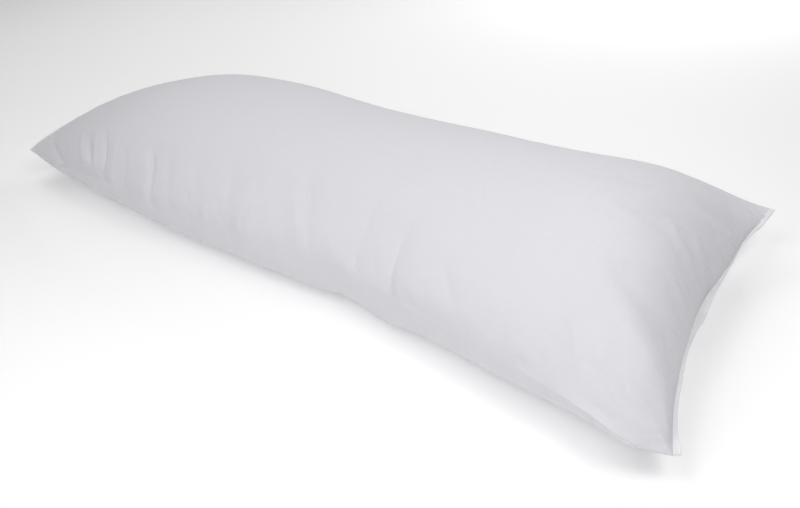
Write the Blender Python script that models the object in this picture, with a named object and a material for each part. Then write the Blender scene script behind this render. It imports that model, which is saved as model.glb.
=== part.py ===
"""Body pillow: a white cotton cover, stuffed with loose fibre, lying on one face.

The cover is one length of cloth folded round the filling. It has no seam along its long sides. At
each end the two layers are sewn flat together, which leaves a narrow lip. X runs along the pillow
to the end that was sewn shut last, Y runs across it to the back, and Z is up.
"""

import math
from collections import namedtuple

import bmesh
import bpy
import numpy as np

# Sizes in metres
FLAT_HALF_WIDTH = 0.255
LENGTH = 1.31
LIP_WIDTH = 0.009
LIP_THICKNESS = 0.003
SEAM_SHARE_OF_CROWN = 0.45
ROWS = 84
STEPS_AROUND = 60

# One row for each cross-section: its place along the pillow, how far it reaches to the front and to
# the back of the middle line, and how high its top stands
Section = namedtuple("Section", "along front back crown")
SECTIONS = (
    Section(-0.655, 0.209, 0.242, 0.130),
    Section(-0.557, 0.223, 0.235, 0.147),
    Section(-0.393, 0.224, 0.219, 0.171),
    Section(-0.197, 0.227, 0.224, 0.177),
    Section(0.000, 0.220, 0.217, 0.167),
    Section(0.197, 0.211, 0.216, 0.166),
    Section(0.393, 0.223, 0.226, 0.167),
    Section(0.557, 0.241, 0.263, 0.174),
    Section(0.615, 0.247, 0.251, 0.171),
    Section(0.655, 0.224, 0.248, 0.165),
)

# The height of each sewn end at its two corners and halfway, how far its middle is drawn in, and how
# much farther than the middle line its back corner reaches
SewnEnd = namedtuple("SewnEnd", "front_corner middle back_corner drawn_in slant")
FAR_END = SewnEnd(0.063, 0.101, 0.047, 0.005, -0.009)
NEAR_END = SewnEnd(0.041, 0.058, 0.068, 0.030, -0.007)

# Creases, in the flat cloth: place along the pillow and round it from the top's middle line towards
# the back, direction in degrees from X, length, half width, and rise or, when negative, depth
Crease = namedtuple("Crease", "along round direction length half_width rise")
CREASES = (
    Crease(-0.540, -0.235, -16, 0.210, 0.018, -0.008),
    Crease(-0.190, -0.235, -78, 0.150, 0.020, -0.006),
    Crease(0.233, -0.190, -80, 0.160, 0.018, -0.008),
    Crease(0.298, -0.195, -80, 0.160, 0.017, -0.008),
    Crease(0.192, -0.330, -90, 0.140, 0.028, -0.005),
    Crease(0.278, -0.330, -90, 0.140, 0.030, 0.005),
    Crease(0.545, -0.200, -78, 0.140, 0.017, -0.006),
    Crease(0.618, -0.165, -72, 0.140, 0.014, 0.005),
)


def smooth_through(places, values, at):
    """A cubic curve through a table's points, whose slope at each one comes from its neighbours."""
    places, values = np.array(places), np.array(values)
    slopes = np.gradient(values, places)
    left = np.clip(np.searchsorted(places, at) - 1, 0, len(places) - 2)
    span = places[left + 1] - places[left]
    t = (at - places[left]) / span
    return (
        (1 + 2 * t) * (1 - t) ** 2 * values[left]
        + t * (1 - t) ** 2 * span * slopes[left]
        + t**2 * (3 - 2 * t) * values[left + 1]
        + t**2 * (t - 1) * span * slopes[left + 1]
    )


def section_at(along):
    """The table's section at any place along the pillow."""
    columns = list(zip(*SECTIONS))
    return Section(along, *(float(smooth_through(columns[0], column, along)) for column in columns[1:]))


def seam_height(share, across, crown):
    """Height of the line between the two faces: the fold at the sides, the sewn edge at the ends."""
    end = NEAR_END if share > 0 else FAR_END
    corner = end.front_corner if across < 0 else end.back_corner
    at_end = corner * across**2 + end.middle * (1 - across**2)
    near_end = abs(share) ** 8
    return SEAM_SHARE_OF_CROWN * crown * (1 - near_end) + at_end * near_end


def cover_point(share, turn):
    """Where the cloth lies. Share runs from -1 to 1 along it, and turn from -90 to 270 degrees round
    it: the front fold, over the top to the back fold at 90, and back under it."""
    half_length = LENGTH / 2
    section = section_at(share * half_length)
    across = turn / 90 if turn <= 90 else (180 - turn) / 90
    end = NEAR_END if share > 0 else FAR_END
    pulled_in = (end.drawn_in * (1 - across**2) - end.slant * across) * share**4
    x = share * half_length + (pulled_in if share < 0 else -pulled_in)

    flatness = share**4
    reach = (1 - flatness) * math.sin(math.radians(90 * across)) + flatness * across
    y = reach * (section.front if across < 0 else section.back)

    filled_share = min(abs(share) / (1 - LIP_WIDTH / half_length), 1)
    fullness = (1 - filled_share**6) ** 0.73
    arch = max(math.cos(math.radians(90 * across)), 0)
    seam = seam_height(share, across, section.crown)
    half_lip = LIP_THICKNESS / 2 * arch**0.25
    if turn <= 90:
        above = section.crown * (1 - SEAM_SHARE_OF_CROWN)
        return x, y, seam + max(above * fullness * arch**0.9, half_lip)
    sag = 1 - (1 - min(1.25 * fullness * arch**0.6, 1)) ** 1.4
    return x, y, max(seam - max(seam * sag, half_lip), 0)


def crease_rise(along, around):
    """How far all the creases together lift a point of the cloth."""
    rise = 0
    for crease in CREASES:
        direction = math.radians(crease.direction)
        step_x, step_y = along - crease.along, around - crease.round
        lengthwise = step_x * math.cos(direction) + step_y * math.sin(direction)
        sideways = step_y * math.cos(direction) - step_x * math.sin(direction)
        lengthwise, sideways = lengthwise / (crease.length / 2), sideways / crease.half_width
        rise += crease.rise * math.exp(-(lengthwise**4) - sideways**2)
    return rise


def row_share(place):
    """Spreads the rows: the outermost pair bounds each lip, and the others crowd towards the ends."""
    first_inside = 1 - 2 / ROWS
    if abs(place) > first_inside + 1e-6:
        return math.copysign(1, place)
    inner = 1 - LIP_WIDTH / (LENGTH / 2)
    return inner * math.sin(math.radians(78) * place / first_inside) / math.sin(math.radians(78))


def shape_cover(mesh):
    """Rolls a flat grid into the cover, joins its long edges, and closes the two sewn ends."""
    bm = bmesh.new()
    bmesh.ops.create_grid(bm, x_segments=ROWS, y_segments=STEPS_AROUND, size=1)
    cloth = {}
    for vert in bm.verts:
        share, turn = row_share(vert.co.x), 90 + 180 * vert.co.y
        vert.co = cover_point(share, turn)
        past_middle = turn if turn < 180 else turn - 360
        cloth[vert] = (share * LENGTH / 2, past_middle / 90 * FLAT_HALF_WIDTH)
    bmesh.ops.remove_doubles(bm, verts=bm.verts, dist=1e-5)
    bmesh.ops.recalc_face_normals(bm, faces=bm.faces)
    bm.normal_update()
    for vert in bm.verts:
        inside_lips = 1 - abs(cloth[vert][0]) / (LENGTH / 2 - LIP_WIDTH)
        eased = min(max(inside_lips / 0.02, 0), 1)
        vert.co += vert.normal * crease_rise(*cloth[vert]) * eased
        vert.co.z = max(vert.co.z, 0)
    bmesh.ops.holes_fill(bm, edges=[edge for edge in bm.edges if edge.is_boundary], sides=0)
    bmesh.ops.triangulate(bm, faces=[face for face in bm.faces if len(face.verts) > 4])
    bmesh.ops.recalc_face_normals(bm, faces=bm.faces)
    bm.to_mesh(mesh)
    bm.free()


def white_cotton():
    """Bleached plain-weave cotton, slightly cool, with no shine."""
    material = bpy.data.materials.new("White cotton")
    material.use_nodes = True
    principled = material.node_tree.nodes["Principled BSDF"]
    principled.inputs["Base Color"].default_value = (0.80, 0.80, 0.82, 1)
    principled.inputs["Roughness"].default_value = 0.9
    principled.inputs["Metallic"].default_value = 0
    return material


def centre_on_floor(mesh):
    """Puts the middle of the pillow's box over the origin, and its lowest face on the floor."""
    points = np.array([vert.co[:] for vert in mesh.vertices])
    low, high = points.min(axis=0), points.max(axis=0)
    middle = (low + high) / 2
    for vert in mesh.vertices:
        vert.co.x -= middle[0]
        vert.co.y -= middle[1]
        vert.co.z -= low[2]


def build():
    for old in list(bpy.data.objects):
        bpy.data.objects.remove(old, do_unlink=True)
    collection = bpy.data.collections.new("Body pillow")
    bpy.context.scene.collection.children.link(collection)
    mesh = bpy.data.meshes.new("filled_cover")
    shape_cover(mesh)
    centre_on_floor(mesh)
    mesh.materials.append(white_cotton())
    cover = bpy.data.objects.new("filled_cover", mesh)
    collection.objects.link(cover)


build()
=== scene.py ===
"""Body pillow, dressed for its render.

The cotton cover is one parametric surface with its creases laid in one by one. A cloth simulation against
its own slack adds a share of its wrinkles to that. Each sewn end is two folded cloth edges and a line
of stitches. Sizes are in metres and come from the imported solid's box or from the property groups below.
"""

import math
from collections import namedtuple

import bmesh
import bpy
import numpy as np
from bpy.props import FloatProperty, FloatVectorProperty, IntProperty, PointerProperty
from mathutils import Matrix, Vector


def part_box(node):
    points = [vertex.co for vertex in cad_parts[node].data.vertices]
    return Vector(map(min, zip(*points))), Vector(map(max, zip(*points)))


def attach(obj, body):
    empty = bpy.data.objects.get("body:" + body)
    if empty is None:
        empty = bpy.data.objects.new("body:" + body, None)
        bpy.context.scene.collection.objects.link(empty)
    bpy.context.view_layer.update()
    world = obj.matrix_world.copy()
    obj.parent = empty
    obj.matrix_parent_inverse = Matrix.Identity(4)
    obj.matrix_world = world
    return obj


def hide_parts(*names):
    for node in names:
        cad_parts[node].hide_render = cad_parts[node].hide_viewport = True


bl_info = {
    "name": "Body Pillow",
    "version": (1, 0, 0),
    "blender": (4, 5, 0),
    "location": "View3D > Sidebar > Pillow",
    "description": "Builds a stuffed body pillow with a creased cotton cover and sewn ends",
    "category": "Add Mesh",
}

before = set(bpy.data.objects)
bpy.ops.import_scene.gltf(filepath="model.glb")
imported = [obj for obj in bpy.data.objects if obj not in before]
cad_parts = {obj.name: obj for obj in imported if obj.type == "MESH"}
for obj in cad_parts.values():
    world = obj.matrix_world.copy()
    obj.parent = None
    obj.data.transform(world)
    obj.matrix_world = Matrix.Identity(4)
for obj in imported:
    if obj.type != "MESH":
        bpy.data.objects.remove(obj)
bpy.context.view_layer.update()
BOX_LOW, BOX_HIGH = (np.array(corner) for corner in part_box("filled_cover"))
BOX_SIZE = BOX_HIGH - BOX_LOW

# The cover's form, as shares of the solid's box
# One row for each cross-section: its place along half the pillow, its reach to the front and to the
# back as shares of half the width, and its height
Section = namedtuple("Section", "along front back crown")
SECTIONS = (
    Section(-0.988, 0.816, 0.945, 0.734),
    Section(-0.840, 0.871, 0.918, 0.830),
    Section(-0.593, 0.875, 0.855, 0.966),
    Section(-0.297, 0.887, 0.875, 1.000),
    Section(0.000, 0.859, 0.847, 0.943),
    Section(0.297, 0.824, 0.844, 0.938),
    Section(0.593, 0.871, 0.883, 0.943),
    Section(0.840, 0.941, 1.027, 0.983),
    Section(0.928, 0.965, 0.980, 0.966),
    Section(0.988, 0.875, 0.969, 0.932),
)
# Heights of each sewn end, how far its middle is drawn in, and how much farther its back corner reaches
SewnEnd = namedtuple("SewnEnd", "front_corner middle back_corner drawn_in slant")
FAR_END = SewnEnd(0.356, 0.570, 0.266, 0.0075, -0.0136)
NEAR_END = SewnEnd(0.232, 0.328, 0.385, 0.0452, -0.0106)
FOLD_HEIGHT = 0.45
FULLNESS = 0.73
# How late each end closes, as the power of its profile: the near end's differs for places across
FAR_POWER = 6
NEAR_POWERS = (
    (-1.00, 12.0),
    (-0.80, 16.0),
    (-0.55, 18.0),
    (-0.30, 16.0),
    (0.00, 10.5),
    (0.30, 7.5),
    (0.60, 6.5),
    (0.80, 5.5),
    (1.00, 5.0),
)
# The near end's front half folds down along a ridge: where across, half width, and for places across
# the ridge's distance from the seam as a share of half the length
GUSSET_ACROSS, GUSSET_HALF_WIDTH = -0.78, 0.28
GUSSET = (
    (-1.00, 0.008),
    (-0.82, 0.014),
    (-0.70, 0.028),
    (-0.56, 0.054),
    (-0.43, 0.090),
    (-0.25, 0.140),
    (0.00, 0.170),
    (1.00, 0.170),
)
# The table's middle line lies a little in front of the middle of the box
TABLE_TO_BOX = np.array([0.00075, -0.01447, 0])

# How the near seam leaves that even curve: for a place across from -1 in front to 1 behind, how much
# farther it is drawn in, as a share of half the length
NEAR_SEAM = (
    (-1.00, 0.0000),
    (-0.85, 0.0070),
    (-0.60, 0.0080),
    (-0.45, 0.0083),
    (-0.30, 0.0075),
    (-0.14, 0.0050),
    (0.05, 0.0025),
    (0.22, -0.0020),
    (0.36, -0.0028),
    (0.50, -0.0008),
    (0.60, 0.0010),
    (0.72, -0.0010),
    (0.80, -0.0040),
    (0.92, -0.0025),
    (1.00, 0.0000),
)
# How much of the near sewn edge lies outside the cover, for the same places, as shares of its width
LIP_SHOWS = (
    (-1.00, 0.80),
    (-0.85, 0.64),
    (-0.65, 0.62),
    (-0.45, 0.55),
    (-0.33, 0.48),
    (-0.20, 0.70),
    (-0.05, 0.80),
    (0.10, 0.75),
    (0.22, 0.60),
    (0.36, 0.38),
    (0.60, 0.35),
    (0.78, 0.55),
    (1.00, 0.60),
)
# A tuck makes the lower layer of the near seam stand out here: place across, half width and depth
TUCK_ACROSS, TUCK_HALF_WIDTH, TUCK_DEPTH = -0.12, 0.24, 0.0050

# Creases, in the flat cloth: place along the pillow and round it from the top's middle line towards
# the back, direction in degrees from X, length, how far the middle bows to the left of that direction,
# half width, and rise or, when negative, depth
Crease = namedtuple("Crease", "along round direction length bow half_width rise")
CREASES = (
    # Far end, with the long crease into its front corner
    Crease(-0.551, -0.227, -27, 0.167, 0.012, 0.012, -0.0050),
    Crease(-0.434, -0.197, -45, 0.107, 0.003, 0.008, 0.0030),
    Crease(-0.407, -0.196, -49, 0.098, 0.003, 0.006, -0.0034),
    Crease(-0.394, -0.191, -56, 0.106, 0.008, 0.008, 0.0030),
    Crease(-0.369, -0.194, -65, 0.125, 0.016, 0.006, -0.0048),
    Crease(-0.331, -0.201, -75, 0.112, 0.012, 0.008, 0.0024),
    Crease(-0.295, -0.209, -79, 0.101, 0.014, 0.008, -0.0024),
    Crease(-0.220, -0.201, -73, 0.123, 0.015, 0.008, -0.0050),
    Crease(-0.179, -0.186, -63, 0.157, 0.016, 0.010, -0.0020),
    Crease(-0.130, -0.156, -61, 0.227, 0.016, 0.012, -0.0022),
    Crease(-0.039, -0.174, -69, 0.178, 0.010, 0.010, -0.0018),
    Crease(-0.105, -0.276, -52, 0.027, 0.001, 0.007, -0.0028),
    Crease(-0.390, -0.215, -8, 0.140, 0.000, 0.022, 0.0035),
    # Front fold, from the far part to the middle
    Crease(-0.110, -0.225, -72, 0.090, 0.005, 0.012, -0.0020),
    Crease(-0.043, -0.207, -64, 0.070, 0.005, 0.008, -0.0018),
    Crease(0.015, -0.150, -70, 0.180, 0.010, 0.035, 0.0030),
    Crease(0.265, -0.200, -85, 0.200, 0.000, 0.060, -0.0040),
    Crease(0.192, -0.330, -90, 0.140, 0.000, 0.028, -0.0050),
    Crease(0.278, -0.330, -90, 0.140, 0.000, 0.030, 0.0050),
    Crease(0.024, -0.179, -66, 0.169, 0.011, 0.010, -0.0024),
    Crease(0.097, -0.160, -57, 0.140, 0.004, 0.010, 0.0026),
    Crease(0.120, -0.176, -66, 0.175, 0.010, 0.009, -0.0040),
    Crease(0.166, -0.175, -66, 0.152, 0.004, 0.010, 0.0018),
    Crease(0.224, -0.168, -83, 0.150, -0.004, 0.009, -0.0050),
    Crease(0.288, -0.190, -86, 0.140, -0.004, 0.010, -0.0050),
    Crease(0.258, -0.196, -77, 0.067, -0.002, 0.007, -0.0026),
    Crease(0.320, -0.179, -74, 0.103, -0.005, 0.009, 0.0018),
    Crease(0.372, -0.177, -63, 0.078, 0.000, 0.009, -0.0042),
    Crease(0.430, -0.186, -70, 0.074, -0.002, 0.011, -0.0014),
    Crease(0.537, -0.204, -77, 0.101, 0.008, 0.011, -0.0056),
    Crease(0.569, -0.194, -75, 0.081, 0.002, 0.014, 0.0020),
    Crease(0.488, -0.246, -59, 0.021, 0.002, 0.009, -0.0026),
    # Lower part of the near third, which turns under sooner
    Crease(0.470, -0.190, 0, 0.300, 0.000, 0.045, 0.0020),
    # Near end, with folds that meet in its corners
    Crease(0.617, -0.187, -77, 0.055, 0.001, 0.010, 0.0014),
    Crease(0.625, -0.232, -72, 0.040, 0.001, 0.007, -0.0014),
    Crease(0.638, -0.172, -71, 0.090, 0.000, 0.004, 0.0018),
    Crease(0.645, -0.180, -74, 0.070, 0.000, 0.004, -0.0014),
    Crease(0.620, -0.060, -28, 0.060, 0.000, 0.005, 0.0020),
    Crease(0.612, -0.020, -34, 0.070, 0.000, 0.005, -0.0018),
    Crease(0.600, 0.010, -30, 0.060, 0.000, 0.005, 0.0018),
    Crease(0.625, 0.030, -40, 0.060, 0.000, 0.005, 0.0016),
    Crease(0.622, 0.172, -52, 0.070, 0.000, 0.008, -0.0010),
    Crease(0.636, 0.203, -52, 0.050, 0.000, 0.005, 0.0010),
)
# Creases with a half width above this are round in cross-section, and the others are peaked
ROUND_CREASE = 0.012
# Part of the rows at each end over which creases and gathers fade out
FADED_PART = 0.03
# Faint gathers round the front fold: how many, the seed, and their height as a share of half width
GATHERS, GATHER_SEED, GATHER_HEIGHT = 90, 7, 0.22
# Puckers at the sewn ends: height, the distance over which they fade inwards, and waves for each metre
PUCKER_HEIGHT, PUCKER_FADE, PUCKER_WAVES = 0.0016, 0.028, 190
# Rows crowd towards the ends as the sine of an angle up to this many degrees
CROWDING = 78
# Pitch of the woven threads, and how far a sewn edge reaches into the cover so that no gap shows
THREAD_PITCH, TUCKED_IN = 0.0006, 0.0028
# The stitches lie at this share of the sewn edge's width
STITCH_LINE = 0.6
FLOOR_HALF_SIZE = 6.0


# The studio's soft lamps, each on a line from the point that it faces: that point, azimuth from the
# front and elevation in degrees, distance, size and power
Lamp = namedtuple("Lamp", "name x y z azimuth elevation distance size power")
LAMPS = (
    Lamp("right_high", 0.35, -0.10, 0.10, 80, 60, 1.3, 0.6, 6.6),
    Lamp("camera_side", 0.35, -0.10, 0.10, 40, 30, 1.3, 0.6, 3.2),
    Lamp("front_high", 0.35, -0.10, 0.10, -20, 60, 1.3, 0.6, 4.2),
    Lamp("front_low", 0.35, -0.10, 0.10, -20, 30, 1.3, 0.6, 1.7),
    Lamp("left", 0.15, 0.00, 0.08, -45, 25, 2.2, 1.3, 4.6),
    Lamp("behind", 0.15, 0.00, 0.08, 180, 25, 2.2, 1.3, 16.6),
    Lamp("backdrop", -1.80, 1.30, 0.00, 0, 89, 2.4, 2.5, 38.0),
    Lamp("backdrop_left", -1.50, -0.60, 0.00, 0, 89, 2.0, 1.5, 3.0),
)


class PillowCoverSettings(bpy.types.PropertyGroup):
    """Sizes and finish of the stuffed cover"""

    flat_width: FloatProperty(
        name="Flat width", description="Width of the empty cover", default=0.51, subtype="DISTANCE"
    )
    rows: IntProperty(name="Rows", description="Cells along the pillow", default=420)
    steps: IntProperty(name="Steps", description="Cells round it, a multiple of 4", default=280)
    cloth_rows: IntProperty(name="Cloth rows", description="Rows in the simulation", default=176)
    cloth_steps: IntProperty(name="Cloth steps", description="Steps in the simulation", default=136)
    slack: FloatProperty(
        name="Slack", description="Share by which the cloth is larger than its filling", default=0.02
    )
    pressure: FloatProperty(name="Pressure", description="Push of the filling", default=4.0)
    most_shift: FloatProperty(
        name="Most shift", description="Farthest that a point may move", default=0.010, subtype="DISTANCE"
    )
    frames: IntProperty(name="Frames", description="Steps of the cloth simulation", default=20)
    wrinkles: FloatProperty(
        name="Wrinkles", description="Share of the simulated wrinkles that is kept", default=0.35
    )
    cotton: FloatVectorProperty(
        name="Cotton", description="Colour of the cloth", default=(0.748, 0.741, 0.780), subtype="COLOR"
    )


class PillowEndSettings(bpy.types.PropertyGroup):
    """Sizes and finish of the sewn ends"""

    lip_width: FloatProperty(
        name="Lip width", description="Width of the flat sewn edge", default=0.0078, subtype="DISTANCE"
    )
    lip_thickness: FloatProperty(
        name="Lip thickness", description="Both layers together", default=0.0016, subtype="DISTANCE"
    )
    stitch_length: FloatProperty(
        name="Stitch length", description="Pitch of the stitches", default=0.0032, subtype="DISTANCE"
    )
    # Painted light: the hem colour is a lighter copy of the cotton, so the sewn edges look brighter than the
    # lamps alone make them
    hem_painted_lighter: FloatVectorProperty(
        name="Hem", description="Colour of the cloth where it lies in four layers",
        default=(0.83, 0.824, 0.850), subtype="COLOR",
    )
    thread: FloatVectorProperty(
        name="Thread", description="Colour of the thread", default=(0.86, 0.86, 0.87), subtype="COLOR"
    )


class PillowStageSettings(bpy.types.PropertyGroup):
    """Floor, light and camera"""

    floor: FloatVectorProperty(
        name="Floor", description="Colour of the floor", default=(0.93, 0.93, 0.93), subtype="COLOR"
    )
    surroundings: FloatVectorProperty(
        name="Surroundings", description="Colour of the room's light", default=(1, 1, 1), subtype="COLOR"
    )
    surroundings_strength: FloatProperty(
        name="Surroundings strength", description="Brightness of the room's light", default=0.0
    )
    floor_glow: FloatProperty(
        name="Floor glow", description="Light that the floor gives off itself", default=0.155
    )
    lens: FloatProperty(name="Lens", description="Focal length in millimetres", default=27.69)
    target: FloatVectorProperty(
        name="Target", description="Point that the camera looks at", default=(0.2529, -0.1394, 0.08),
        subtype="TRANSLATION",
    )
    distance: FloatProperty(
        name="Distance", description="From the target to the camera", default=0.8544, subtype="DISTANCE"
    )
    azimuth: FloatProperty(
        name="Azimuth", description="Round the pillow from its front", default=math.radians(39.66),
        subtype="ANGLE",
    )
    elevation: FloatProperty(
        name="Elevation", description="Above the horizon", default=math.radians(35.46), subtype="ANGLE"
    )
    roll: FloatProperty(
        name="Roll", description="Turn about the view", default=math.radians(-5.26), subtype="ANGLE"
    )


def smooth_through(places, values, at):
    """A cubic curve through a table's points, whose slope at each one comes from its neighbours."""
    places, values = np.array(places), np.array(values)
    slopes = np.gradient(values, places)
    left = np.clip(np.searchsorted(places, at) - 1, 0, len(places) - 2)
    span = places[left + 1] - places[left]
    t = (at - places[left]) / span
    return (
        (1 + 2 * t) * (1 - t) ** 2 * values[left]
        + t * (1 - t) ** 2 * span * slopes[left]
        + t**2 * (3 - 2 * t) * values[left + 1]
        + t**2 * (t - 1) * span * slopes[left + 1]
    )


def place_along(share):
    """Place along the pillow in metres, for a share of half the sewn length."""
    return share * SECTIONS[-1].along * BOX_SIZE[0] / 2


def end_fade(rows):
    """A factor for each row that falls from 1 to 0 over the last part of the rows at both ends."""
    return np.clip((1 - abs(np.linspace(-1, 1, rows)))[:, None] / FADED_PART, 0, 1)


def cover_surface(share, turn, lip_width, lip_thickness):
    """Points of the cover for a place along it from -1 to 1 and a turn round it in degrees.

    Turn 0 is the top, -90 the front fold, 90 the back fold and 180 the underside. A cross-section is
    an ellipse whose half widths and height follow the table, flattened where it rests. Towards each
    end its height falls to the lip as a power of the distance, and its outline opens to a straight
    line, drawn in halfway. The near end's front half falls straight from a ridge instead.
    """
    half_length = place_along(1)
    across = across_of(turn)
    columns = np.array(SECTIONS).T
    front, back, crown = (smooth_through(columns[0], c, share * columns[0][-1]) for c in columns[1:])
    crown = crown * BOX_SIZE[2]
    near = share > 0

    def end_value(name):
        return np.where(near, getattr(NEAR_END, name), getattr(FAR_END, name))

    pulled_in = (end_value("drawn_in") * (1 - across**2) - end_value("slant") * across) * share**4
    pulled_in = pulled_in + near * smooth_through(*zip(*NEAR_SEAM), across) * share**10
    x = share * half_length - np.sign(share) * pulled_in * BOX_SIZE[0] / 2
    reach = (1 - share**4) * np.sin(np.radians(90 * across)) + share**4 * across
    y = reach * np.where(across < 0, front, back) * BOX_SIZE[1] / 2

    power = np.where(near, smooth_through(*zip(*NEAR_POWERS), across), FAR_POWER)
    closed = np.where(near, seam_share(1, turn, lip_width), seam_share(-1, turn, lip_width))
    fullness = (1 - np.minimum(abs(share) / closed, 1) ** power) ** FULLNESS
    ridge = smooth_through(*zip(*GUSSET), across) / np.maximum(closed - abs(share), 1e-4)
    folded = near * np.exp(-(((across - GUSSET_ACROSS) / GUSSET_HALF_WIDTH) ** 2))
    fullness = fullness * (1 - folded) + (1 + ridge**5) ** -0.2 * folded * (abs(share) < closed)
    arch = np.maximum(np.cos(np.radians(90 * across)), 0)
    corner = np.where(across < 0, end_value("front_corner"), end_value("back_corner"))
    end_line = (corner * across**2 + end_value("middle") * (1 - across**2)) * BOX_SIZE[2]
    seam = FOLD_HEIGHT * crown * (1 - share**8) + end_line * share**8
    half_lip = lip_thickness * 0.55 * arch**0.25
    top = seam + np.maximum(crown * (1 - FOLD_HEIGHT) * fullness * arch**0.9, half_lip)
    sag = 1 - (1 - np.minimum(1.25 * fullness * arch**0.6, 1)) ** 1.4
    under = np.maximum(seam - np.maximum(seam * sag, half_lip), 0)
    z = np.where(abs(turn) <= 90, top, under)
    points = np.stack(np.broadcast_arrays(x, y, z), axis=-1)
    return points + TABLE_TO_BOX * BOX_SIZE + np.array([0, 0, BOX_LOW[2]])


def across_of(turn):
    """Place across the pillow, from -1 at the front fold to 1 at the back one, for a turn round it."""
    return np.where(abs(turn) <= 90, turn / 90, np.sign(turn) * (180 - abs(turn)) / 90)


def seam_share(side, turn, lip_width):
    """Where the cover ends and its sewn edge starts, as a share of half the length."""
    shows = smooth_through(*zip(*LIP_SHOWS), across_of(turn)) if side > 0 else np.full_like(turn, 0.8)
    return 1 - lip_width * shows / place_along(1)


def crease_rise(along, around):
    """How far all the creases lift the cloth.

    Each crease is its rise times exp(-u**4 - abs(v)**p), where u is the place along it over half its
    length, v the place across it over its half width, and p 1.5 for a peaked crease or 2 for a round
    one.
    """
    rise = np.zeros(np.broadcast(along, around).shape)
    for crease in CREASES:
        direction = math.radians(crease.direction)
        step_x, step_y = along - crease.along, around - crease.round
        lengthwise = step_x * math.cos(direction) + step_y * math.sin(direction)
        sideways = step_y * math.cos(direction) - step_x * math.sin(direction)
        lengthwise = lengthwise / (crease.length / 2)
        sideways = (sideways - crease.bow * (1 - lengthwise**2)) / crease.half_width
        power = 2.0 if crease.half_width > ROUND_CREASE else 1.5
        rise += crease.rise * np.exp(-(lengthwise**4) - abs(sideways) ** power)
    return rise


def gathered_rise(along, around):
    """Faint folds that run round the front of the pillow: many long bells in seeded random places."""
    draw = np.random.default_rng(GATHER_SEED)
    rise = np.zeros(np.broadcast(along, around).shape)
    for _ in range(GATHERS):
        place, level = draw.uniform(-0.60, 0.60), draw.normal(-0.225, 0.045)
        direction, length = math.radians(draw.normal(-76, 7)), draw.uniform(0.05, 0.15)
        half_width, height, bow = draw.uniform(0.004, 0.010), draw.uniform(-1, 1), draw.uniform(0, 0.014)
        step_x, step_y = along - place, around - level
        lengthwise = (step_x * math.cos(direction) + step_y * math.sin(direction)) / (length / 2)
        sideways = step_y * math.cos(direction) - step_x * math.sin(direction) - bow * (1 - lengthwise**2)
        rise += height * half_width * GATHER_HEIGHT * np.exp(-(lengthwise**2) - (sideways / half_width) ** 2)
    return rise


def puckered_rise(along, around):
    """Small gathers at both sewn ends: uneven waves round the seam that fade exponentially inwards."""
    inwards = np.where(along > 0, along[-1] - along, along - along[0])
    strength = np.exp(-inwards / PUCKER_FADE) * (1 - np.exp(-inwards / 0.003))
    drift = 0.004 * np.sin(inwards * 90 + around * 31)
    return PUCKER_HEIGHT * strength * waver(around + drift, PUCKER_WAVES, 1.3)


def ring_faces(rows, steps):
    """Quads of a grid whose last step joins its first, as indices, facing outwards."""
    row, step = np.meshgrid(np.arange(rows - 1), np.arange(steps), indexing="ij")
    following = (step + 1) % steps
    corners = [row * steps + step, (row + 1) * steps + step]
    corners += [(row + 1) * steps + following, row * steps + following]
    return np.stack(corners, axis=-1).reshape(-1, 4)


def end_caps(rows, steps):
    """Quads that close the two slots at a ring grid's ends, from each top point to the one under it."""
    step = np.arange(steps // 4, 3 * steps // 4)
    below = (3 * steps // 2 - step) % steps
    below_next = (3 * steps // 2 - step - 1) % steps
    far = np.stack([step, step + 1, below_next, below], axis=-1)
    return np.concatenate([far, far[:, ::-1] + (rows - 1) * steps])


def new_piece(name, points, faces, material):
    """A smooth mesh object at the origin, from an array of points and lists of corner indices."""
    mesh = bpy.data.meshes.new(name)
    mesh.from_pydata(points.reshape(-1, 3).tolist(), [], faces)
    mesh.polygons.foreach_set("use_smooth", np.ones(len(mesh.polygons), dtype=bool))
    mesh.materials.append(material)
    mesh.update()
    piece = bpy.data.objects.new(name, mesh)
    bpy.context.scene.collection.objects.link(piece)
    return piece


def cap_quads(faces):
    """Faces as lists without repeated corners, so that a slot's outermost quads become triangles."""
    return [list(dict.fromkeys(face)) for face in faces.tolist()]


def blurred(field, reach, passes=3):
    """A field on the ring grid, averaged over reach rows and steps each way, passes times over."""
    for _ in range(passes):
        wrapped = np.pad(field, ((0, 0), (reach, reach), (0, 0)), mode="wrap")
        sums = np.cumsum(np.pad(wrapped, ((0, 0), (1, 0), (0, 0))), axis=1)
        field = (sums[:, 2 * reach + 1 :] - sums[:, : -2 * reach - 1]) / (2 * reach + 1)
        held = np.pad(field, ((reach, reach), (0, 0), (0, 0)), mode="edge")
        sums = np.cumsum(np.pad(held, ((1, 0), (0, 0), (0, 0))), axis=0)
        field = (sums[2 * reach + 1 :] - sums[: -2 * reach - 1]) / (2 * reach + 1)
    return field


def outward_normals(points):
    """Unit normals of the ring grid: the row direction crossed with the step direction."""
    lengthwise = np.gradient(points, axis=0)
    round_it = (np.roll(points, -1, axis=1) - np.roll(points, 1, axis=1)) / 2
    normal = np.cross(lengthwise, round_it)
    return normal / np.maximum(np.linalg.norm(normal, axis=-1, keepdims=True), 1e-12)


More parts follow.
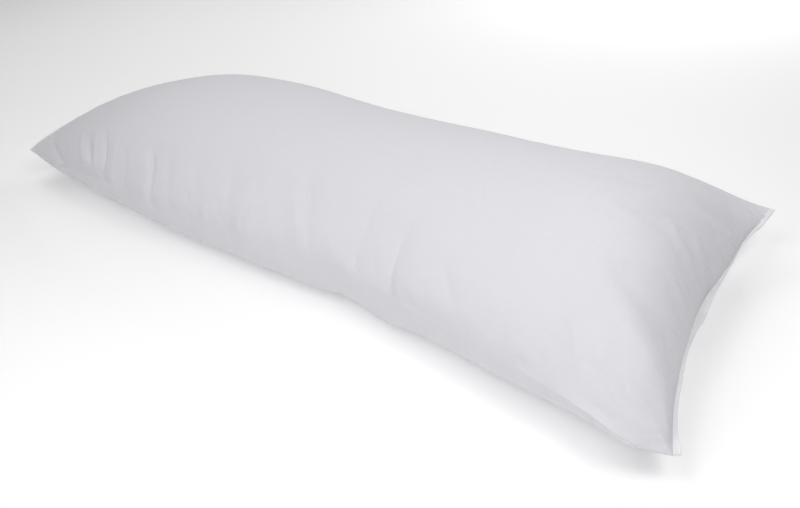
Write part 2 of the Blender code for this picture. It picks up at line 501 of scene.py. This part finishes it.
def swell(points, faces, settings):
    """Cloth simulation: the cover, cut larger than its filling, is pushed out from inside.

    Its two ends are held. Returns the points where the cloth comes to lie.
    """
    rows, steps = points.shape[:2]
    trial = new_piece("cloth_trial", points, faces, bpy.data.materials.new("Trial"))
    held = trial.vertex_groups.new(name="held")
    held.add(list(range(steps)) + list(range((rows - 1) * steps, rows * steps)), 1.0, "REPLACE")
    cloth = trial.modifiers.new("Cloth", "CLOTH")
    cloth.settings.quality = 5
    cloth.settings.mass = 0.15
    cloth.settings.tension_stiffness = 15
    cloth.settings.compression_stiffness = 15
    cloth.settings.shear_stiffness = 5
    cloth.settings.bending_stiffness = 0.1
    cloth.settings.use_pressure = True
    cloth.settings.uniform_pressure_force = settings.pressure
    cloth.settings.shrink_min = -settings.slack
    cloth.settings.vertex_group_mass = "held"
    cloth.settings.effector_weights.gravity = 0
    cloth.collision_settings.use_collision = False
    cloth.point_cache.frame_start, cloth.point_cache.frame_end = 1, settings.frames
    for step in range(1, settings.frames + 1):
        bpy.context.scene.frame_set(step)
    evaluated = trial.evaluated_get(bpy.context.evaluated_depsgraph_get())
    lying = np.empty(rows * steps * 3)
    evaluated.data.vertices.foreach_get("co", lying)
    bpy.context.scene.frame_set(1)
    bpy.data.objects.remove(trial, do_unlink=True)
    return lying.reshape(rows, steps, 3)


def simulated_wrinkles(cover, ends):
    """How far the simulated cloth lies from its own average shape, on a coarser grid and capped."""
    rows, steps = cover.cloth_rows, cover.cloth_steps
    share, turn = cloth_places(rows, steps, ends.lip_width)
    start = cover_surface(share, turn, ends.lip_width, ends.lip_thickness)
    along = place_along(share)
    lift = crease_rise(along, turn / 90 * cover.flat_width / 2)
    lift *= end_fade(rows)
    start = start + outward_normals(start) * lift[..., None]
    faces = cap_quads(np.concatenate([ring_faces(rows, steps), end_caps(rows, steps)]))
    shift = swell(start, faces, cover) - start
    wrinkle = shift - blurred(shift, 7)
    length = np.linalg.norm(wrinkle, axis=-1, keepdims=True)
    return wrinkle * cover.wrinkles * np.minimum(1, cover.most_shift / np.maximum(length, 1e-9))


def finer(coarse, rows, steps):
    """The same field on a finer ring grid, through the cubic curve of four neighbours each way."""
    def along_axis(field, count, wraps):
        old = field.shape[0]
        place = np.arange(count) * (old / count) if wraps else np.linspace(0, old - 1, count)
        left = np.minimum(place.astype(int), old - 1 if wraps else old - 2)
        t = (place - left)[:, None, None]
        near = [field[(left + k) % old if wraps else np.clip(left + k, 0, old - 1)] for k in range(-1, 3)]
        weights = (
            -t / 2 + t**2 - t**3 / 2,
            1 - 5 * t**2 / 2 + 3 * t**3 / 2,
            t / 2 + 2 * t**2 - 3 * t**3 / 2,
            -(t**2) / 2 + t**3 / 2,
        )
        return sum(weight * values for weight, values in zip(weights, near))

    return along_axis(along_axis(coarse, rows, False).swapaxes(0, 1), steps, True).swapaxes(0, 1)


def cloth_places(rows, steps, lip_width):
    """Share along and turn round of each grid point. Rows crowd to the ends, and steps to the folds."""
    along = np.linspace(-1, 1, rows)
    turn = -180 + 360 * np.arange(steps) / steps
    middle = np.where(abs(turn) <= 90, 0, np.sign(turn) * 180)
    across = (turn - middle) / 90
    turn = middle + 90 * (0.25 * across + 0.75 * np.sin(np.pi / 2 * across))
    inner = np.where(along[:, None] > 0, seam_share(1, turn, lip_width), seam_share(-1, turn, lip_width))
    crowded = np.sin(np.radians(CROWDING) * along) / np.sin(np.radians(CROWDING))
    return inner * crowded[:, None], turn[None, :]


def cotton_material(name, colour):
    """Bleached plain-weave cotton: a fine warp and weft, faint slubs, and a soft sheen."""
    material = bpy.data.materials.new(name)
    material.use_nodes = True
    nodes, links = material.node_tree.nodes, material.node_tree.links
    principled = nodes["Principled BSDF"]
    principled.inputs["Base Color"].default_value = (*colour, 1)
    principled.inputs["Roughness"].default_value = 0.95
    principled.inputs["Sheen Weight"].default_value = 0.15
    principled.inputs["Sheen Roughness"].default_value = 0.5
    cloth = nodes.new("ShaderNodeUVMap")
    cloth.uv_map = "Cloth"

    def threads(angle, pitch):
        turned = nodes.new("ShaderNodeMapping")
        turned.inputs["Rotation"].default_value = (0, 0, math.radians(angle))
        wave = nodes.new("ShaderNodeTexWave")
        wave.inputs["Scale"].default_value = 1 / (pitch * 20)
        wave.inputs["Distortion"].default_value = 1.5
        wave.inputs["Detail Scale"].default_value = 2
        links.new(cloth.outputs["UV"], turned.inputs["Vector"])
        links.new(turned.outputs["Vector"], wave.inputs["Vector"])
        return wave.outputs["Fac"]

    def slubs(angle, stretch, scale):
        turned = nodes.new("ShaderNodeMapping")
        turned.inputs["Rotation"].default_value = (0, 0, math.radians(angle))
        turned.inputs["Scale"].default_value = (1, stretch, 1)
        noise = nodes.new("ShaderNodeTexNoise")
        noise.inputs["Scale"].default_value = scale
        noise.inputs["Detail"].default_value = 3
        links.new(cloth.outputs["UV"], turned.inputs["Vector"])
        links.new(turned.outputs["Vector"], noise.inputs["Vector"])
        return noise.outputs["Fac"]

    def combined(operation, first, second):
        node = nodes.new("ShaderNodeMath")
        node.operation = operation
        for socket, value in zip(node.inputs, (first, second)):
            if isinstance(value, (int, float)):
                socket.default_value = value
            else:
                links.new(value, socket)
        return node.outputs["Value"]

    weave = combined("ADD", threads(0, THREAD_PITCH), threads(90, THREAD_PITCH))
    lengthwise = combined("MULTIPLY", slubs(0, 14, 60), 0.45)
    streaks = combined("MULTIPLY_ADD", slubs(90, 14, 60), 1.0)
    links.new(lengthwise, streaks.node.inputs[2])
    relief = combined("MULTIPLY_ADD", weave, 0.35)
    links.new(streaks, relief.node.inputs[2])
    bump = nodes.new("ShaderNodeBump")
    bump.inputs["Strength"].default_value = 0.5
    bump.inputs["Distance"].default_value = 0.0006
    links.new(relief, bump.inputs["Height"])
    links.new(bump.outputs["Normal"], principled.inputs["Normal"])
    return material


class PILLOW_OT_cover(bpy.types.Operator):
    """Builds the stuffed cotton cover and lets its slack cloth settle into wrinkles"""

    bl_idname = "pillow.cover"
    bl_label = "Stuffed cover"

    def execute(self, context):
        cover, ends = context.scene.pillow_cover, context.scene.pillow_ends
        rows, steps = cover.rows, cover.steps
        share, turn = cloth_places(rows, steps, ends.lip_width)
        still = cover_surface(share, turn, ends.lip_width, ends.lip_thickness)
        faces = cap_quads(np.concatenate([ring_faces(rows, steps), end_caps(rows, steps)]))

        along = place_along(share)
        around = turn / 90 * cover.flat_width / 2
        lift = (crease_rise(along, around) + gathered_rise(along, around)) * end_fade(rows)
        lift += puckered_rise(along, around)
        creased = still + outward_normals(still) * lift[..., None]
        creased = creased + finer(simulated_wrinkles(cover, ends), rows, steps)
        creased[..., 2] = np.maximum(creased[..., 2], BOX_LOW[2])
        piece = new_piece("cotton_cover", creased, faces, cotton_material("White cotton", cover.cotton))
        lay_cloth_map(piece, along, around, steps)
        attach(piece, "root")
        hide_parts("filled_cover")
        return {"FINISHED"}


def lay_cloth_map(piece, along, around, steps):
    """UV map in metres of flat cloth, along and round the pillow, with its join on the underside."""
    mesh = piece.data
    corners = np.empty(len(mesh.loops), dtype=np.int32)
    mesh.loops.foreach_get("vertex_index", corners)
    column = corners % steps
    map_v = np.broadcast_to(around, (along.shape[0], steps)).ravel()[corners]
    starts = np.empty(len(mesh.polygons), dtype=np.int32)
    totals = np.empty(len(mesh.polygons), dtype=np.int32)
    mesh.polygons.foreach_get("loop_start", starts)
    mesh.polygons.foreach_get("loop_total", totals)
    owner = np.repeat(np.arange(len(starts)), totals)
    last = np.maximum.reduceat(column, starts)[owner]
    wraps = (last == steps - 1) & (column == 0)
    map_v = np.where(wraps, -around.ravel()[0], map_v)
    map_u = np.broadcast_to(along, (along.shape[0], steps)).ravel()[corners]
    layer = mesh.uv_layers.new(name="Cloth")
    layer.data.foreach_set("uv", np.stack([map_u, map_v], axis=-1).ravel())


class PILLOW_OT_sewn_ends(bpy.types.Operator):
    """Builds the turned-in, sewn edge of both layers at each end"""

    bl_idname = "pillow.sewn_ends"
    bl_label = "Sewn ends"

    def execute(self, context):
        ends = context.scene.pillow_ends
        # The sewn edges take the lighter hem colour: painted light on a copy of the cotton material
        hem_painted_lighter = cotton_material("Folded cotton, painted lighter", ends.hem_painted_lighter)
        for name, side in (("near", 1), ("far", -1)):
            points, cloth_uv = folded_edges(side, ends)
            rows, steps = points.shape[1:3]
            faces = []
            for layer in range(2):
                start = layer * rows * steps
                faces += [[start + corner for corner in face] for face in tube_faces(rows, steps)]
            piece = new_piece(f"sewn_edge_{name}", points, faces, hem_painted_lighter)
            layer = piece.data.uv_layers.new(name="Cloth")
            corners = np.empty(len(piece.data.loops), dtype=np.int32)
            piece.data.loops.foreach_get("vertex_index", corners)
            layer.data.foreach_set("uv", cloth_uv.reshape(-1, 2)[corners].ravel())
            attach(piece, "root")
            face_outwards(piece)
        return {"FINISHED"}


def face_outwards(piece):
    """Recalculates a closed mesh's normals so that they point out."""
    mesh = bmesh.new()
    mesh.from_mesh(piece.data)
    bmesh.ops.recalc_face_normals(mesh, faces=mesh.faces)
    mesh.to_mesh(piece.data)
    mesh.free()


def tube_faces(rows, steps):
    """Quads of a tube along rows, with its two ends closed by one face each."""
    faces = ring_faces(rows, steps).tolist()
    first = list(range(steps))
    last = [(rows - 1) * steps + step for step in range(steps)]
    return faces + [first[::-1], last]


def seam_frame(side, count, ends):
    """The sewn line at one end, from front to back: its points, and the way out of the pillow.

    The line runs halfway between the two layers where the cover closes, and the way out is the level
    step from there to the end of the flat lip.
    """
    turn = np.linspace(-90, 90, count)
    share = side * seam_share(side, turn, ends.lip_width)
    over = cover_surface(share, turn, ends.lip_width, ends.lip_thickness)
    under = cover_surface(share, np.sign(turn) * 180 - turn, ends.lip_width, ends.lip_thickness)
    outer = cover_surface(np.full_like(turn, float(side)), turn, ends.lip_width, ends.lip_thickness)
    line = (over + under) / 2
    return line, (outer - over) * [1, 1, 0]


def waver(places, waves, phase):
    """A gentle unevenness from -1 to 1: three sines of unlike lengths added together."""
    return sum(
        math.sin(phase * (n + 1)) * 0.2 + np.sin(places * waves * rate + phase * rate) / 3
        for n, rate in enumerate((1.0, 1.7, 2.9))
    )


def lip_sheet(side, places, outward, ends):
    """The middle of a sewn edge's sheet, at places along the seam and distances out from it.

    It leads straight out from the seam line. Its outer part lifts and droops in slow uneven waves, and
    small gathers between the stitches ripple it. Also returns the way out, the width and the seam's
    length.
    """
    line, step_out = seam_frame(side, 400, ends)
    length = np.concatenate([[0], np.cumsum(np.linalg.norm(np.diff(line, axis=0), axis=1))])
    base = np.stack([np.interp(places, length, line[:, i]) for i in range(3)], axis=-1)
    way_out = np.stack([np.interp(places, length, step_out[:, i]) for i in range(3)], axis=-1)
    width = np.linalg.norm(way_out, axis=-1)
    way_out = way_out / width[..., None]
    points = base + way_out * outward[..., None]
    part = outward / width
    slow = 0.0011 * waver(places, 48, 0.7 * side) * part**2
    ripple = 0.00035 * waver(places, 420, 1.9) * np.sin(np.pi * np.clip(part, 0, 1) * 0.8)
    points[..., 2] += slow + ripple
    return points, way_out, width, length[-1]


def folded_edges(side, ends):
    """Both layers of a sewn edge, as two flat tubes.

    A layer's cross-section is a flat oval: its width runs out from the cover, a little uneven along
    the seam, and its thickness is pinched at the line of stitches. At the near end a tuck in the lower
    layer stands out beyond the upper one, as it does in the photo.
    """
    count, steps = 360, 24
    angle = np.linspace(0, 2 * np.pi, steps, endpoint=False)
    whole = lip_sheet(side, np.zeros(1), np.zeros(1), ends)[3]
    places = np.linspace(0, whole, count)
    shows = lip_sheet(side, places, np.zeros(count), ends)[2]
    across = 2 * places / whole - 1
    taper = np.clip((1 - abs(across)) / 0.02, 0, 1)
    layers, maps = [], []
    for layer in (1, -1):
        width = shows * (1 + 0.05 * waver(places, 60, 2.0 + layer + side))
        if layer < 0:
            width += 0.0003 * (1 + waver(places, 30, 1.0 + side))
            tuck = np.exp(-(((across - TUCK_ACROSS) / TUCK_HALF_WIDTH) ** 2))
            width += (side > 0) * TUCK_DEPTH * tuck
        inside = TUCKED_IN * taper[:, None]
        outward = (0.5 - 0.5 * np.cos(angle)) * (width[:, None] + inside) - inside
        pinch = 1 - 0.4 * np.exp(-(((outward - STITCH_LINE * shows[:, None]) / 0.0009) ** 2))
        thick = ends.lip_thickness / 4 * np.sign(np.sin(angle)) * abs(np.sin(angle)) ** 0.5 * pinch
        points = lip_sheet(side, np.broadcast_to(places[:, None], outward.shape), outward, ends)[0]
        droop = (layer < 0) * 0.35 * np.maximum(outward - 0.9 * shows[:, None], 0)
        points[..., 2] += layer * ends.lip_thickness / 4 * pinch + thick - droop
        points[..., 2] = np.maximum(points[..., 2], BOX_LOW[2] + 0.0003)
        layers.append(points)
        around = np.broadcast_to(places[:, None] - whole / 2, outward.shape)
        along = outward + place_along(side) + (layer < 0) * np.sin(angle) * 0.002
        maps.append(np.stack([along, around], axis=-1))
    return np.array(layers), np.array(maps)


class PILLOW_OT_stitches(bpy.types.Operator):
    """Lays the row of stitches on both sides of each sewn end"""

    bl_idname = "pillow.stitches"
    bl_label = "Stitches"

    def execute(self, context):
        ends = context.scene.pillow_ends
        for name, side in (("near", 1), ("far", -1)):
            points, faces = stitch_row(side, ends)
            piece = new_piece(f"stitches_{name}", points, faces, thread_material(ends))
            face_outwards(piece)
            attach(piece, "root")
        return {"FINISHED"}


def thread_material(ends):
    """Twisted sewing thread, whiter than the cloth."""
    found = bpy.data.materials.get("White thread")
    if found:
        return found
    material = bpy.data.materials.new("White thread")
    material.use_nodes = True
    nodes, links = material.node_tree.nodes, material.node_tree.links
    principled = nodes["Principled BSDF"]
    principled.inputs["Base Color"].default_value = (*ends.thread, 1)
    principled.inputs["Roughness"].default_value = 0.6
    place = nodes.new("ShaderNodeTexCoord")
    twist = nodes.new("ShaderNodeTexNoise")
    twist.inputs["Scale"].default_value = 2500
    bump = nodes.new("ShaderNodeBump")
    bump.inputs["Strength"].default_value = 0.4
    bump.inputs["Distance"].default_value = 0.0001
    links.new(place.outputs["Object"], twist.inputs["Vector"])
    links.new(twist.outputs["Fac"], bump.inputs["Height"])
    links.new(bump.outputs["Normal"], principled.inputs["Normal"])
    return material


def stitch_row(side, ends):
    """All stitches of one end, above and below the lip, as short bowed tubes.

    A stitch runs along the seam for most of its pitch. Its middle line is half a sine wave high, and
    its thickness falls off to its two ends as the root of that wave.
    """
    whole = lip_sheet(side, np.zeros(1), np.zeros(1), ends)[3]
    starts = np.arange(0.006, whole - 0.009, ends.stitch_length)
    rings, ring_steps, radius = 5, 6, 0.00028
    part = np.linspace(0, 1, rings)
    angle = np.linspace(0, 2 * np.pi, ring_steps, endpoint=False)
    rows = []
    for face in (1, -1):
        places = starts[:, None] + part * ends.stitch_length * 0.82
        bow = np.sin(np.pi * part)
        shows = lip_sheet(side, places, np.zeros_like(places), ends)[2]
        centre, way_out = lip_sheet(side, places, STITCH_LINE * shows, ends)[:2]
        centre[..., 2] += face * (ends.lip_thickness * 0.34 + 0.0002 * bow)
        thick = radius * np.maximum(bow, 0.15) ** 0.5
        ring_out = np.cos(angle)[:, None] * way_out[..., None, :]
        ring_up = np.sin(angle)[:, None] * np.array([0, 0, 1.0])
        rows.append(centre[..., None, :] + thick[:, None, None] * (ring_out + ring_up))
    points = np.concatenate(rows)
    one = np.array(ring_faces(rings, ring_steps))
    offsets = np.arange(len(points)) * rings * ring_steps
    faces = (one[None] + offsets[:, None, None]).reshape(-1, 4).tolist()
    ends_of_one = [list(range(ring_steps))[::-1], list(range((rings - 1) * ring_steps, rings * ring_steps))]
    faces += [[corner + int(offset) for corner in face] for offset in offsets for face in ends_of_one]
    return points, faces


class PILLOW_OT_stage(bpy.types.Operator):
    """Adds the pale floor, the soft lights and the camera"""

    bl_idname = "pillow.stage"
    bl_label = "Floor, light and camera"

    def execute(self, context):
        stage, scene = context.scene.pillow_stage, context.scene
        corners = np.array([[-1, -1, 0], [1, -1, 0], [1, 1, 0], [-1, 1, 0]]) * FLOOR_HALF_SIZE
        corners[:, 2] = BOX_LOW[2]
        new_piece("floor", corners, [[0, 1, 2, 3]], floor_material(stage))

        for lamp in LAMPS:
            light = bpy.data.lights.new(lamp.name, "AREA")
            light.size, light.energy = lamp.size, lamp.power
            holder = bpy.data.objects.new(lamp.name, light)
            back = way_back(math.radians(lamp.azimuth), math.radians(lamp.elevation))
            holder.location = Vector((lamp.x, lamp.y, lamp.z)) + back * lamp.distance
            holder.rotation_euler = (-back).to_track_quat("-Z", "Y").to_euler()
            scene.collection.objects.link(holder)
        world = bpy.data.worlds.new("Studio")
        world.use_nodes = True
        background = world.node_tree.nodes["Background"]
        background.inputs["Color"].default_value = (*stage.surroundings, 1)
        background.inputs["Strength"].default_value = stage.surroundings_strength
        scene.world = world
        scene.view_settings.view_transform = "Standard"
        aim_camera(scene, stage)
        return {"FINISHED"}


def floor_material(stage):
    """Pale matt studio floor with a very faint mottle."""
    material = bpy.data.materials.new("Pale floor")
    material.use_nodes = True
    nodes, links = material.node_tree.nodes, material.node_tree.links
    principled = nodes["Principled BSDF"]
    principled.inputs["Roughness"].default_value = 0.9
    principled.inputs["Emission Color"].default_value = (1, 1, 1, 1)
    principled.inputs["Emission Strength"].default_value = stage.floor_glow
    place = nodes.new("ShaderNodeTexCoord")
    mottle = nodes.new("ShaderNodeTexNoise")
    mottle.inputs["Scale"].default_value = 3
    shade = nodes.new("ShaderNodeMix")
    shade.data_type = "RGBA"
    shade.inputs["A"].default_value = (*stage.floor, 1)
    shade.inputs["B"].default_value = (*(0.985 * value for value in stage.floor), 1)
    links.new(place.outputs["Object"], mottle.inputs["Vector"])
    links.new(mottle.outputs["Fac"], shade.inputs["Factor"])
    links.new(shade.outputs["Result"], principled.inputs["Base Color"])
    return material


def way_back(azimuth, elevation):
    """The direction from the pillow towards a camera or lamp, its azimuth counted from the front."""
    level_part = math.cos(elevation)
    return Vector((math.sin(azimuth) * level_part, -math.cos(azimuth) * level_part, math.sin(elevation)))


def aim_camera(scene, stage):
    """A camera on a line from its target at an azimuth and elevation, turned by a small roll."""
    back = way_back(stage.azimuth, stage.elevation)
    right = (-back).cross(Vector((0, 0, 1))).normalized()
    up = right.cross(-back)
    turned_right = math.cos(stage.roll) * right + math.sin(stage.roll) * up
    turned_up = math.cos(stage.roll) * up - math.sin(stage.roll) * right
    camera = bpy.data.objects.new("camera", bpy.data.cameras.new("camera"))
    camera.data.sensor_width, camera.data.lens = 36, stage.lens
    camera.data.clip_start = 0.01
    pose = Matrix((turned_right, turned_up, back)).transposed().to_4x4()
    pose.translation = Vector(stage.target) + back * stage.distance
    camera.matrix_world = pose
    scene.collection.objects.link(camera)
    scene.camera = camera


class PILLOW_PT_panel(bpy.types.Panel):
    """Lists the pillow's pieces in the sidebar"""

    bl_idname = "PILLOW_PT_panel"
    bl_label = "Body pillow"
    bl_space_type = "VIEW_3D"
    bl_region_type = "UI"
    bl_category = "Pillow"

    def draw(self, context):
        for settings in (context.scene.pillow_cover, context.scene.pillow_ends, context.scene.pillow_stage):
            box = self.layout.box()
            for name in settings.__annotations__:
                box.prop(settings, name)
        for operator in OPERATORS:
            self.layout.operator(operator.bl_idname)


OPERATORS = (PILLOW_OT_cover, PILLOW_OT_sewn_ends, PILLOW_OT_stitches, PILLOW_OT_stage)
SETTINGS = (PillowCoverSettings, PillowEndSettings, PillowStageSettings)


def register():
    for item in (*SETTINGS, *OPERATORS, PILLOW_PT_panel):
        bpy.utils.register_class(item)
    bpy.types.Scene.pillow_cover = PointerProperty(type=PillowCoverSettings)
    bpy.types.Scene.pillow_ends = PointerProperty(type=PillowEndSettings)
    bpy.types.Scene.pillow_stage = PointerProperty(type=PillowStageSettings)


def unregister():
    del bpy.types.Scene.pillow_stage
    del bpy.types.Scene.pillow_ends
    del bpy.types.Scene.pillow_cover
    for item in reversed((*SETTINGS, *OPERATORS, PILLOW_PT_panel)):
        bpy.utils.unregister_class(item)


def main():
    """Registers the add-on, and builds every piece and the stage."""
    register()
    bpy.ops.pillow.cover()
    bpy.ops.pillow.sewn_ends()
    bpy.ops.pillow.stitches()
    bpy.ops.pillow.stage()


if __name__ == "__main__":
    main()
